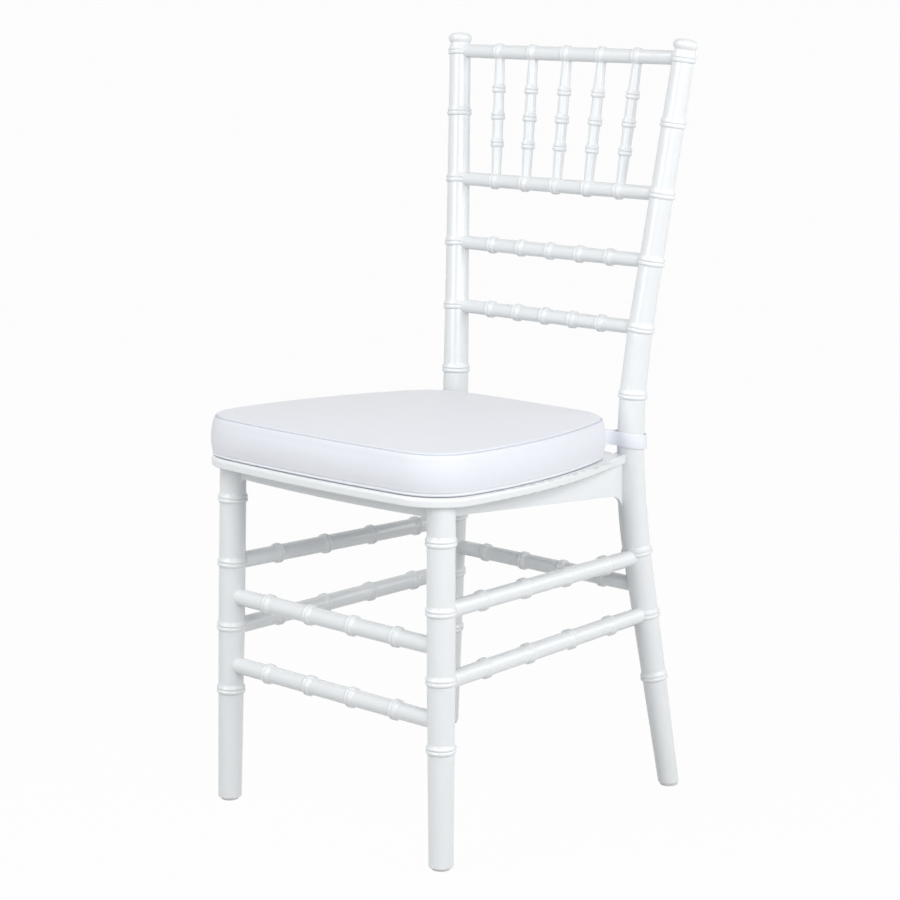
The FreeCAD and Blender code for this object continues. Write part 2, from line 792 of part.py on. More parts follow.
def glide(point):
    """A nylon glide: a low button under the foot with a stem up into it."""
    foot = Vector(point.x, point.y, 0)
    button = Part.makeCylinder(glide_radius, glide_height, foot)
    low = [e for e in button.Edges if e.BoundBox.ZMax < 0.01]
    button = button.makeFillet(glide_edge_radius, low)
    stem = Part.makeCylinder(glide_stem_radius, glide_stem_length + glide_height, foot)
    return fused(button, [stem])


def glide_socket(point):
    """Room in a foot for its glide's stem."""
    foot = Vector(point.x, point.y, 0)
    return Part.makeCylinder(glide_stem_radius + tenon_fit, glide_height + glide_stem_length + tenon_end_gap, foot)


# Cushion

def cushion_form(shrink):
    """The cushion's closed form: a flat base, an underside out to the low seam, bulged walls and a crown."""
    seam_shrink = shrink * cushion_seam_share
    top_seam = cushion_top_seam - seam_shrink
    base = cushion_outline(cushion_underside_inset + shrink, cushion_rest_gap + shrink)
    low = cushion_outline(cushion_low_inset + shrink, cushion_low_seam + seam_shrink)
    middle = cushion_outline(shrink, cushion_middle)
    top = cushion_outline(cushion_top_inset + shrink, top_seam)
    crown_wires = [top]
    centre = Vector(0, (seat_front_depth + cushion_rear_depth) / 2.0, top_seam)
    for size in cushion_crown_steps:
        rise = (cushion_crown - shrink + seam_shrink) * (1.0 - size**2)
        step = top.copy()
        step.scale(size, centre)
        step.translate(Vector(0, 0, rise))
        crown_wires.append(step)
    underside = Part.makeLoft([base, low], True, True)
    walls = Part.makeLoft([low, middle, top], True, False)
    crown = Part.makeLoft(crown_wires, True, False)
    return on_seat(underside.fuse([walls, crown]))


def strap(cushion, post):
    """The right strap: a band round the post, and a tab back to the cushion's rear corner."""
    level = plate_height_at(post_point(seat_height).y) + strap_height_above_plate
    axis = post_point(level)
    direction = post_direction(level)
    inner = post_radius_at(level) + strap_gap
    low = axis - direction * (strap_width / 2.0)
    band = Part.makeCylinder(inner + strap_thickness, strap_width, low, direction)
    hole = rod(axis - direction * strap_width, axis + direction * strap_width, inner)
    corner_depth = cushion_rear_depth - cushion_rear_corner_radius
    toward = Vector(post_waist_half_spacing - cushion_rear_corner_radius - axis.x, corner_depth - axis.y, 0)
    corner = Vector(0, -strap_tab_thickness / 2.0, -strap_width / 2.0)
    tab = Part.makeBox(toward.Length, strap_tab_thickness, strap_width, corner)
    tab = moved(tab, FreeCAD.Placement(Vector(axis.x, axis.y, level), Rotation(Vector(1, 0, 0), toward)))
    return largest(band.fuse(tab).cut(hole).cut(cushion))


def build():
    """Every piece of the chair, by name."""
    pieces = {}
    leg_top = leg_point(seat_height - plate_thickness)
    post_top = post_point(seat_height - plate_thickness)

    post = back_post_blank()
    leg = front_leg_blank()
    posts = (mirrored(post), post)
    legs = (mirrored(leg), leg)

    rails = {}
    for name, level in rail_levels.items():
        rails[name] = level_bar(
            level, post_point, rail_end_radius, rail_middle_radius, rail_ring_count, rail_ring_pitch(level), posts
        )
    stretchers = {}
    for name, level in front_stretcher_levels.items():
        stretchers["front_stretcher_" + name] = level_bar(
            level, leg_point, stretcher_end_radius, stretcher_middle_radius, stretcher_ring_count,
            front_stretcher_ring_pitch, legs,
        )
    stretchers["back_stretcher"] = level_bar(
        back_stretcher_level, post_point, back_stretcher_end_radius, back_stretcher_middle_radius,
        stretcher_ring_count, back_stretcher_ring_pitch, posts,
    )
    for name in side_stretcher_front_levels:
        bar = side_bar(name, (leg, post))
        stretchers["side_stretcher_" + name + "_right"] = bar
        stretchers["side_stretcher_" + name + "_left"] = mirrored(bar)

    spindle_rails = (rails["spindle_rail"], rails["top_rail"])
    for number in range(rail_ring_count):
        pieces["spindle_" + str(number + 1)] = spindle(number, spindle_rails)
        low, high = spindle_ends(number)
        direction = unit(high - low)
        rails["spindle_rail"] = rails["spindle_rail"].cut(spindle_socket(low, direction))
        rails["top_rail"] = rails["top_rail"].cut(spindle_socket(high, direction * -1.0))
    pieces.update(rails)
    pieces.update(stretchers)

    front_level = plate_height_at(leg_top.y) - plate_thickness - skirt_front_drop / 2.0
    rear_level = plate_height_at(post_top.y) - plate_thickness - skirt_back_drop / 2.0
    front_screw = screw_line(leg_top, front_level, -screw_lean)
    rear_screw = screw_line(post_top, rear_level, screw_lean)

    sockets = [glide_socket(post_point(0.0))]
    for level in rail_levels.values():
        sockets.append(socket(post_point(level), Vector(-1, 0, 0)))
    sockets.append(socket(post_point(back_stretcher_level), Vector(-1, 0, 0)))
    leg_sockets = [glide_socket(leg_point(0.0))]
    for level in front_stretcher_levels.values():
        leg_sockets.append(socket(leg_point(level), Vector(-1, 0, 0)))
    for name in side_stretcher_front_levels:
        front = leg_point(side_stretcher_front_levels[name])
        rear = post_point(side_stretcher_rear_levels[name])
        run = unit(rear - front)
        leg_sockets.append(socket(front, run))
        sockets.append(socket(rear, run * -1.0))

    leg_under_plate = leg.cut(all_above(-plate_thickness))
    spigot_foot = leg_point(seat_height - spigot_root)
    spigot_end = leg_point(seat_height + 2.0 * blank_run_out)
    spigot = rod(spigot_foot, spigot_end, spigot_radius).cut(all_above(spigot_height - plate_thickness))
    spigot_room = rod(spigot_foot, spigot_end, spigot_radius + tenon_fit)
    spigot_room = spigot_room.cut(all_above(spigot_height + tenon_end_gap - plate_thickness))

    leg_body = fused(leg_under_plate, [spigot]).cut(leg_sockets + [screw(*front_screw, screw_fit)])
    post_body = post.cut(sockets + [screw(*rear_screw, screw_fit)])
    pieces["front_leg_right"] = leg_body
    pieces["front_leg_left"] = mirrored(leg_body)
    pieces["back_post_right"] = post_body
    pieces["back_post_left"] = mirrored(post_body)

    side = side_skirt(leg_top, post_top)
    blocks = corner_blocks(leg_top, post_top)
    right = [side] + blocks
    under = [seat_ribs(), front_skirt(leg_top), back_skirt(post_top)] + right + [mirrored(piece) for piece in right]
    panel = fused(on_seat(seat_plate()), [on_seat(piece) for piece in under])
    room = [leg_under_plate, spigot_room, screw(*front_screw, screw_hole_fit), screw(*rear_screw, screw_hole_fit)]
    room += [mirrored(piece) for piece in room]
    pieces["seat_panel"] = largest(panel.cut(list(posts) + room))
    seat_screws = [screw(*front_screw, 0.0), screw(*rear_screw, 0.0)]
    pieces["seat_screws"] = Part.makeCompound(seat_screws + [mirrored(piece) for piece in seat_screws])

    for name, point in (("front_glide", leg_point(0.0)), ("back_glide", post_point(0.0))):
        right_glide = glide(point)
        pieces[name + "_right"] = right_glide
        pieces[name + "_left"] = mirrored(right_glide)

    outer = cushion_form(0.0)
    foam = cushion_form(cover_thickness)
    pieces["cushion_cover"] = outer.cut(foam)
    pieces["cushion_foam"] = foam
    right_strap = strap(outer, post)
    pieces["cushion_strap_right"] = right_strap
    pieces["cushion_strap_left"] = mirrored(right_strap)
    return pieces


os.makedirs("parts", exist_ok=True)
pieces = build()
whole = FreeCAD.BoundBox()
for shape in pieces.values():
    whole.add(shape.optimalBoundingBox(False))
centring = Vector(0, -whole.Center.y, 0)
for name, shape in sorted(pieces.items()):
    shape.translate(centring)
    shape.exportStep("parts/" + name + ".step")
    box = shape.optimalBoundingBox(False)
    print(
        "%-28s solids %d valid %s volume %.0f  x %.1f %.1f  y %.1f %.1f  z %.1f %.1f"
        % (name, len(shape.Solids), shape.isValid(), shape.Volume,
           box.XMin, box.XMax, box.YMin, box.YMax, box.ZMin, box.ZMax)
    )
print("moved by", round(centring.y, 3), "whole", whole)
for name, point in (("front foot", leg_point(0.0)), ("back foot", post_point(0.0))):
    print(name, round(point.x, 3), round(point.y + centring.y, 3))
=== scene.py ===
"""A moulded resin chiavari chair with a strapped seat cushion, as photographed in a white studio.

The solid pieces come from the frame and are dressed here. The cushion and its straps are modelled here.
Lengths are metres in the chair's frame: +Z up, the chair faces -Y, the origin on the floor.
"""

from __future__ import annotations

import json
import logging
import math
from collections.abc import Callable
from dataclasses import dataclass
from enum import Enum

import bmesh
import bpy
from mathutils import Matrix, Vector
from mathutils.bvhtree import BVHTree
from mathutils.noise import noise

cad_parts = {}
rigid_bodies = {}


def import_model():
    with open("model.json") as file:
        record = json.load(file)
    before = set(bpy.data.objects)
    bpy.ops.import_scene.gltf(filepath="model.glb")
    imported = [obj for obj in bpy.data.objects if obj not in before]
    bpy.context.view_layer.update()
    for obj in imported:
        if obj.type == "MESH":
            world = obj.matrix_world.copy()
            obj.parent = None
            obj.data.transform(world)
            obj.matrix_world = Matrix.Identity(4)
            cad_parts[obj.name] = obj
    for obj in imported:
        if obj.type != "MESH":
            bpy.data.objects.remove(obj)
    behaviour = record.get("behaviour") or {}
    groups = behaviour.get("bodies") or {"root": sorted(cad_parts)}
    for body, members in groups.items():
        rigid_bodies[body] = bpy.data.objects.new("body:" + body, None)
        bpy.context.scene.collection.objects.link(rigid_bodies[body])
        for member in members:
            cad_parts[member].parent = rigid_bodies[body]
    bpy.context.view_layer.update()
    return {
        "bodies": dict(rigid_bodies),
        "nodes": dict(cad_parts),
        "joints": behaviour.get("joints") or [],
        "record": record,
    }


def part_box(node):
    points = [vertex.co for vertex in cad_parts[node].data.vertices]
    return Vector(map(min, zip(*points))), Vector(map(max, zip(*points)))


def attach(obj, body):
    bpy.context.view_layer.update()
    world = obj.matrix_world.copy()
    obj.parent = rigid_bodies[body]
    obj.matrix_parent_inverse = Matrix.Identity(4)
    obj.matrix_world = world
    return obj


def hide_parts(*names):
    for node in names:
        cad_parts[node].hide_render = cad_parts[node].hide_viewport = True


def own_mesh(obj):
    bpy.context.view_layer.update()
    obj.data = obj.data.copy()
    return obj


LOG = logging.getLogger("chiavari_chair")
MM = 0.001
WHITE = (1.0, 1.0, 1.0, 1.0)
DOUBLES_GAP = 0.01 * MM

Colour = tuple[float, float, float]
Outline = list[tuple[float, float]]


class Side(Enum):
    """A side of the chair, as seen from the front, and its sign along X."""

    LEFT = -1
    RIGHT = 1

    @property
    def label(self) -> str:
        """The side's name in lower case."""
        return self.name.lower()


# Shader maths

class Socket:
    """A shader output on which sums can be written with the usual operators."""

    def __init__(self, sheet: NodeSheet, link: bpy.types.NodeSocket) -> None:
        """Wraps an output socket of a node sheet."""
        self.sheet = sheet
        self.link = link

    def maths(self, operation: str, *values: Socket | float) -> Socket:
        """A Math node on the given values, in order."""
        return self.sheet.node("ShaderNodeMath", {"operation": operation}, dict(enumerate(values)))

    def __add__(self, other: Socket | float) -> Socket:
        """The sum."""
        return self.maths("ADD", self, other)

    __radd__ = __add__

    def __sub__(self, other: Socket | float) -> Socket:
        """The difference."""
        return self.maths("SUBTRACT", self, other)

    def __rsub__(self, other: Socket | float) -> Socket:
        """The difference, the other way round."""
        return self.maths("SUBTRACT", other, self)

    def __mul__(self, other: Socket | float) -> Socket:
        """The product."""
        return self.maths("MULTIPLY", self, other)

    __rmul__ = __mul__

    def unsigned(self) -> Socket:
        """The value without its sign."""
        return self.maths("ABSOLUTE", self)

    def wave(self, length: float) -> Socket:
        """A sine wave from 0 to 1 with that length, in metres."""
        return self.maths("SINE", self * (2.0 * math.pi / length)) * 0.5 + 0.5

    def mixed(self, other: Socket, share: float) -> Socket:
        """The value with a share of another mixed in."""
        return self * (1.0 - share) + other * share

    def clamped(self, low: float = 0.0, high: float = 1.0) -> Socket:
        """The value kept between two limits."""
        return self.maths("MINIMUM", self.maths("MAXIMUM", self, low), high)

    def ramp(self, start: float, end: float) -> Socket:
        """A smooth rise from 0 at start to 1 at end."""
        inputs = {"Value": self, "From Min": start, "From Max": end}
        return self.sheet.node("ShaderNodeMapRange", {"interpolation_type": "SMOOTHSTEP"}, inputs)


class NodeSheet:
    """The node tree of one material or world, with a method that adds nodes and a few shorthands."""

    # The sockets of a Mix node that carry colours
    MIX_LOW, MIX_HIGH, MIX_RESULT = 6, 7, 2

    def __init__(self, owner: bpy.types.Material | bpy.types.World) -> None:
        """Clears the nodes of a material or world.

        Args:
            owner: the new material or world.
        """
        owner.use_nodes = True
        self.owner = owner
        self.tree = owner.node_tree
        self.tree.nodes.clear()
        self._point: Socket | None = None

    def add(
        self,
        kind: str,
        settings: dict[str, object] | None = None,
        inputs: dict[str | int, object] | None = None,
    ) -> bpy.types.Node:
        """Adds a node.

        Args:
            kind: the node's type name.
            settings: the node's own properties, which are set first.
            inputs: socket name or number to a value or a linked Socket.

        Returns:
            The node.
        """
        made = self.tree.nodes.new(kind)
        for name, value in (settings or {}).items():
            setattr(made, name, value)
        for name, value in (inputs or {}).items():
            if isinstance(value, Socket):
                self.tree.links.new(value.link, made.inputs[name])
            else:
                made.inputs[name].default_value = value
        return made

    def node(
        self,
        kind: str,
        settings: dict[str, object] | None = None,
        inputs: dict[str | int, object] | None = None,
        output: str | int = 0,
    ) -> Socket:
        """Adds a node, and wraps the chosen one of its outputs for shader maths."""
        return Socket(self, self.add(kind, settings, inputs).outputs[output])

    @property
    def point(self) -> Socket:
        """The place on the piece, which all the sheet's patterns share.

        Returns:
            The piece's Object coordinates, in metres.
        """
        if self._point is None:
            self._point = self.node("ShaderNodeTexCoord", output="Object")
        return self._point

    def axes(self) -> tuple[Socket, Socket, Socket]:
        """The three numbers of the place on the piece."""
        split = self.add("ShaderNodeSeparateXYZ", inputs={0: self.point})
        return tuple(Socket(self, out) for out in split.outputs)

    def noise(self, size: float, detail: float = 2.0, roughness: float = 0.5) -> Socket:
        """Soft noise from 0 to 1 whose lumps are about that size in metres."""
        inputs = {"Vector": self.point, "Scale": 1.0 / size, "Detail": detail, "Roughness": roughness}
        return self.node("ShaderNodeTexNoise", inputs=inputs)

    def tint(self, amount: Socket, low: Socket | Colour, high: Colour) -> Socket:
        """Mixes two colours.

        Args:
            amount: from 0 for the low colour to 1 for the high one.
            low: a colour, as numbers or linked.
            high: a colour.

        Returns:
            The mixed colour.
        """
        start = low if isinstance(low, Socket) else (*low, 1.0)
        inputs = {0: amount, self.MIX_LOW: start, self.MIX_HIGH: (*high, 1.0)}
        return self.node("ShaderNodeMix", {"data_type": "RGBA"}, inputs, self.MIX_RESULT)

    def bump(self, height: Socket, depth: float, under: Socket | None = None) -> Socket:
        """Turns a height into a bumped normal.

        Args:
            height: a height from 0 to 1.
            depth: how deep that is, in metres.
            under: a normal on which the bump lies.

        Returns:
            The bumped normal.
        """
        inputs: dict[str | int, object] = {"Height": height, "Strength": 1.0, "Distance": depth}
        if under is not None:
            inputs["Normal"] = under
        return self.node("ShaderNodeBump", inputs=inputs)

    def seen(self) -> Socket:
        """Tells what is seen from what only lights other things.

        Returns:
            1 for what the camera sees straight, in gloss or through glass, and 0 for the light on things.
        """
        path = self.add("ShaderNodeLightPath")
        names = ("Is Camera Ray", "Is Glossy Ray", "Is Transmission Ray")
        camera, gloss, glass = (Socket(self, path.outputs[name]) for name in names)
        return (camera + gloss + glass).clamped()

    def finish(self, **inputs: object) -> bpy.types.Material:
        """Closes the sheet with a Principled BSDF.

        Args:
            inputs: socket values by name, with spaces written as underscores.

        Returns:
            The finished material.
        """
        named = {name.replace("_", " "): value for name, value in inputs.items()}
        return self.surface(self.node("ShaderNodeBsdfPrincipled", inputs=named))

    def surface(self, shader: Socket) -> bpy.types.Material | bpy.types.World:
        """Joins a shader to the sheet's output.

        Args:
            shader: the shader.

        Returns:
            The finished material or world.
        """
        kind = "World" if isinstance(self.owner, bpy.types.World) else "Material"
        self.add(f"ShaderNodeOutput{kind}", inputs={"Surface": shader})
        return self.owner


# The seat

@dataclass(frozen=True)
class SeatPlane:
    """The sloping top of the seat plate, from which the cushion's heights are measured."""

    slope: float = 0.028
    front: float = -226.382 * MM
    height: float = 430.0 * MM

    @property
    def fall(self) -> float:
        """The angle by which the plate falls towards its back, in radians."""
        return math.atan(self.slope)

    @property
    def matrix(self) -> Matrix:
        """The place of the seat's own coordinates in the chair's frame.

        Returns:
            A matrix that turns the first into the second.
        """
        turn = Matrix.Rotation(-self.fall, 4, "X")
        pivot = Matrix.Translation((0.0, self.front, 0.0))
        return Matrix.Translation((0.0, 0.0, self.height)) @ pivot @ turn @ pivot.inverted()

    def level(self, across: Socket, up: Socket) -> Socket:
        """The height above the plate of a place whose Y and Z in the chair's frame are across and up."""
        return (up - self.height) * math.cos(self.fall) + (across - self.front) * math.sin(self.fall)


# Finishes

@dataclass(frozen=True)
class ResinFinish:
    """Glossy white moulded resin: a faint orange-peel skin, slow sink waves, and scuffs low on the legs."""

    name: str = "resin"
    colour: Colour = (0.80, 0.825, 0.84)
    shade: Colour = (0.77, 0.795, 0.81)
    cloud_size: float = 60 * MM
    grain_size: float = 0.5 * MM
    grain_share: float = 0.2
    peel_size: float = 1.6 * MM
    peel_depth: float = 0.006 * MM
    wave_size: float = 22 * MM
    wave_depth: float = 0.05 * MM
    scuff_size: float = 3 * MM
    scuff_height: float = 30 * MM
    scuff_limits: tuple[float, float] = (0.55, 0.8)
    scuff_darkness: float = 0.6
    scuff_roughness: float = 0.25
    roughness: float = 0.2
    roughness_swing: float = 0.07
    patch_size: float = 25 * MM

    def build(self) -> bpy.types.Material:
        """Makes the finish.

        Returns:
            The material.
        """
        sheet = NodeSheet(bpy.data.materials.new(self.name))
        _, _, up = sheet.axes()
        cloud = sheet.noise(self.cloud_size, detail=3.0)
        grain = sheet.noise(self.grain_size, detail=1.0)
        low_down = 1.0 - up.ramp(0.0, self.scuff_height)
        scuffs = sheet.noise(self.scuff_size, detail=4.0, roughness=0.7).ramp(*self.scuff_limits) * low_down
        tone = (cloud.mixed(grain, self.grain_share) - scuffs * self.scuff_darkness).clamped()
        patch = sheet.noise(self.patch_size, detail=3.0) - 0.5
        waves = sheet.bump(sheet.noise(self.wave_size, detail=1.0), self.wave_depth)
        return sheet.finish(
            Base_Color=sheet.tint(tone, self.shade, self.colour),
            Roughness=self.roughness + self.roughness_swing * patch + self.scuff_roughness * scuffs,
            Normal=sheet.bump(sheet.noise(self.peel_size, detail=1.5), self.peel_depth, waves),
            IOR=1.5,
            Coat_Weight=0.25,
            Coat_Roughness=0.06,
        )


@dataclass(frozen=True)
class CushionFinish:
    """White coated cloth: a fine even weave, slow changes of sheen, and painted shade in the top seam's
    crease.
    """

    name: str = "cushion_cloth"
    colour: Colour = (0.79, 0.81, 0.86)
    shade: Colour = (0.75, 0.77, 0.825)
    thread: float = 0.45 * MM
    thread_depth: float = 0.03 * MM
    fuzz_size: float = 0.7 * MM
    fuzz_tone_share: float = 0.3
    fuzz_depth_share: float = 0.4
    crumple_size: float = 35 * MM
    crumple_depth: float = 0.5 * MM
    roughness: float = 0.42
    roughness_swing: float = 0.12
    plane: SeatPlane = SeatPlane()
    # Painted shade: the colour that the cloth is darkened to along the top seam's crease.
    crease: Colour = (0.57, 0.59, 0.66)
    crease_height: float = 46.9 * MM
    crease_edge: tuple[float, float] = (0.3 * MM, 0.75 * MM)

    def build(self) -> bpy.types.Material:
        """Makes the finish.

        Returns:
            The material.
        """
        sheet = NodeSheet(bpy.data.materials.new(self.name))
        along, across, up = sheet.axes()
        weave = (along + up).wave(self.thread) * (across - up).wave(self.thread)
        fuzz = sheet.noise(self.fuzz_size)
        cloud = sheet.noise(self.crumple_size)
        tone = cloud.mixed(fuzz, self.fuzz_tone_share).clamped()
        plain = sheet.tint(tone, self.shade, self.colour)
        # Painted shade along the top seam: a narrow band at the crease's height is tinted towards the crease
        # colour.
        off_crease = (self.plane.level(across, up) - self.crease_height).unsigned()
        painted_crease_shade = 1.0 - off_crease.ramp(*self.crease_edge)
        crumple = sheet.bump(cloud, self.crumple_depth)
        threads = weave.mixed(fuzz, self.fuzz_depth_share)
        return sheet.finish(
            Base_Color=sheet.tint(painted_crease_shade, plain, self.crease),
            Roughness=self.roughness + self.roughness_swing * (cloud - 0.5),
            Normal=sheet.bump(threads, self.thread_depth, crumple),
            IOR=1.45,
            Sheen_Weight=0.25,
            Sheen_Roughness=0.4,
        )


@dataclass(frozen=True)
class WebbingFinish:
    """White hook-and-loop webbing: fine ribs across its length over a soft fuzz, with painted shade in the
    hollows between the ribs.
    """

    name: str = "strap_webbing"
    colour: Colour = (0.86, 0.88, 0.94)
    # The colour of the low parts: painted shade in the rib hollows, and random tone in the fuzz.
    shade: Colour = (0.79, 0.81, 0.87)
    rib: float = 0.8 * MM
    fuzz_size: float = 0.6 * MM
    fuzz_share: float = 0.65
    depth: float = 0.08 * MM
    roughness: float = 0.62
    roughness_swing: float = 0.15

    def build(self) -> bpy.types.Material:
        """Makes the finish.

        Returns:
            The material.
        """
        sheet = NodeSheet(bpy.data.materials.new(self.name))
        _, _, up = sheet.axes()
        fuzz = sheet.noise(self.fuzz_size, detail=3.0, roughness=0.7)
        # The tint follows this height. The hollows between the ribs get painted shade, and the fuzz adds
        # random tone.
        height = up.wave(self.rib).mixed(fuzz, self.fuzz_share)
        return sheet.finish(
            Base_Color=sheet.tint(height, self.shade, self.colour),
            Roughness=self.roughness + self.roughness_swing * (fuzz - 0.5),
            Normal=sheet.bump(height, self.depth),
            Sheen_Weight=0.3,
            Sheen_Roughness=0.5,
        )


@dataclass(frozen=True)
class NylonFinish:
    """White nylon of the foot glides, scratched on its underside."""

    name: str = "glide_nylon"
    colour: Colour = (0.72, 0.72, 0.70)
    worn: Colour = (0.42, 0.41, 0.39)
    scratch_size: float = 1.2 * MM
    scratch_limits: tuple[float, float] = (0.35, 0.75)
    scratch_depth: float = 0.02 * MM
    worn_height: float = 1.2 * MM
    roughness: float = 0.45
    worn_roughness: float = 0.3

    def build(self) -> bpy.types.Material:
        """Makes the finish.

        Returns:
            The material.
        """
        sheet = NodeSheet(bpy.data.materials.new(self.name))
        _, _, up = sheet.axes()
        scratches = sheet.noise(self.scratch_size, detail=4.0, roughness=0.7)
        wear = (1.0 - up.ramp(0.0, self.worn_height)) * scratches.ramp(*self.scratch_limits)
        return sheet.finish(
            Base_Color=sheet.tint(wear, self.colour, self.worn),
            Roughness=self.roughness + self.worn_roughness * wear,
            Normal=sheet.bump(scratches, self.scratch_depth),
        )


@dataclass(frozen=True)
class SteelFinish:
    """Zinc-plated steel of the seat screws, with small blotches."""

    name: str = "screw_steel"
    colour: Colour = (0.58, 0.58, 0.57)
    shade_share: float = 0.8
    blotch_size: float = 1.5 * MM
    roughness: float = 0.3
    roughness_swing: float = 0.2

    def build(self) -> bpy.types.Material:
        """Makes the finish.

        Returns:
            The material.
        """
        sheet = NodeSheet(bpy.data.materials.new(self.name))
        blotch = sheet.noise(self.blotch_size, detail=3.0)
        shade = tuple(value * self.shade_share for value in self.colour)
        return sheet.finish(
            Base_Color=sheet.tint(blotch, shade, self.colour),
            Roughness=self.roughness + self.roughness_swing * blotch,
            Metallic=1.0,
        )


@dataclass(frozen=True)
class BackdropFinish:
    """White studio paper, nearly pure white to the camera and the gloss, which keeps the chair's shadow."""

    name: str = "studio_paper"
    colour: Colour = (0.52, 0.52, 0.52)
    lift: float = 0.975

    def build(self) -> bpy.types.Material:
        """Makes the finish.

        Returns:
            The material.
        """
        sheet = NodeSheet(bpy.data.materials.new(self.name))
        paper = sheet.node("ShaderNodeBsdfDiffuse", inputs={"Color": (*self.colour, 1.0)})
        glow = sheet.node("ShaderNodeEmission", inputs={"Color": WHITE, "Strength": 1.0})
        sides = {0: sheet.seen() * self.lift, 1: paper, 2: glow}
        return sheet.surface(sheet.node("ShaderNodeMixShader", inputs=sides))


@dataclass(frozen=True)
class SkyFinish:
    """The studio's even sky: a soft light on the chair, and white where it is seen."""

    name: str = "studio_sky"
    strength: float = 0.21

    def build(self) -> bpy.types.World:
        """Makes the sky.

        Returns:
            The world.
        """
        sheet = NodeSheet(bpy.data.worlds.new(self.name))
        soft = sheet.node("ShaderNodeBackground", inputs={"Color": WHITE, "Strength": self.strength})
        bright = sheet.node("ShaderNodeBackground", inputs={"Color": WHITE, "Strength": 1.0})
        sides = {0: sheet.seen(), 1: soft, 2: bright}
        return sheet.surface(sheet.node("ShaderNodeMixShader", inputs=sides))


# Modelling by hand

def only(piece: bpy.types.Object) -> None:
    """Selects one object, makes it active, and deselects all others.

    Args:
        piece: the object.
    """
    bpy.ops.object.select_all(action="DESELECT")
    piece.select_set(True)
    bpy.context.view_layer.objects.active = piece


def apply_modifier(piece: bpy.types.Object, kind: str, **settings: object) -> None:
    """Adds a modifier to an object and applies it.

    Args:
        piece: the object.
        kind: the modifier's type.
        settings: the modifier's properties by name.
    """
    only(piece)
    modifier = piece.modifiers.new(kind.lower(), kind)
    for name, value in settings.items():
        setattr(modifier, name, value)
    bpy.ops.object.modifier_apply(modifier=modifier.name)


def merge_doubles(piece: bpy.types.Object) -> None:
    """Joins the points of an object's mesh that lie on each other.

    Args:
        piece: the object.
    """
    only(piece)
    bpy.ops.object.mode_set(mode="EDIT")
    bpy.ops.mesh.select_all(action="SELECT")
    bpy.ops.mesh.remove_doubles(threshold=DOUBLES_GAP)
    bpy.ops.object.mode_set(mode="OBJECT")


def face_outwards(piece: bpy.types.Object) -> None:
    """Turns the faces of an object's closed mesh outwards.

    Args:
        piece: the object.
    """
    only(piece)
    bpy.ops.object.mode_set(mode="EDIT")
    bpy.ops.mesh.select_all(action="SELECT")
    bpy.ops.mesh.normals_make_consistent(inside=False)
    bpy.ops.object.mode_set(mode="OBJECT")


def settle(
    piece: bpy.types.Object, name: str, finish: bpy.types.Material, smooth_angle: float = 180.0
) -> None:
    """Gives a finished piece its name, material and shading, and puts its place into its mesh.

    Args:
        piece: the object.
        name: its name in the table of pieces.
        finish: the material of all its faces.
        smooth_angle: faces that meet at less than this many degrees are shaded smooth.
    """
    only(piece)
    bpy.ops.object.transform_apply(location=True, rotation=True, scale=True)
    bpy.ops.object.shade_smooth_by_angle(angle=math.radians(smooth_angle))
    piece.name = name
    piece.data.name = name
    piece.data.materials.clear()
    piece.data.materials.append(finish)


def copy_of(piece: bpy.types.Object, name: str) -> bpy.types.Object:
    """Copies a solid piece, whose mesh is loose triangles, and joins them up.

    Args:
        piece: the solid piece, which stays as it is.
        name: the copy's name.

    Returns:
        The copy, with a mesh of its own.
    """
    twin = bpy.data.objects.new(name, piece.data.copy())
    bpy.context.scene.collection.objects.link(twin)
    merge_doubles(twin)
    return twin


def tree_of(piece: bpy.types.Object) -> BVHTree:
    """Makes a search tree on an object's mesh, for finding its surface.

    Args:
        piece: the object.

    Returns:
        The search tree.
    """
    shape = bmesh.new()
    shape.from_mesh(piece.data)
    tree = BVHTree.FromBMesh(shape)
    shape.free()
    return tree


# The chair's solid pieces

@dataclass
class ChairFrame:
    """Legs, posts, rails, spindles, stretchers and seat panel, which keep their solid shapes."""

    nodes: dict[str, bpy.types.Object]
    resin: bpy.types.Material
    steel: bpy.types.Material
    nylon: bpy.types.Material

    def build(self) -> None:
        """Dresses every solid piece that is left showing."""
        for name, piece in self.nodes.items():
            if "cushion" in name:
                continue
            finish = self.finish_of(name)
            for slot in piece.material_slots:
                slot.material = finish
            LOG.info("dressed %s", name)

    def finish_of(self, name: str) -> bpy.types.Material:
        """Chooses a solid piece's finish.

        Args:
            name: the piece's name in the frame.

        Returns:
            Nylon for the glides, steel for the screws, and resin for the rest.
        """
        if "glide" in name:
            return self.nylon
        if "screw" in name:
            return self.steel
        return self.resin


# The cushion

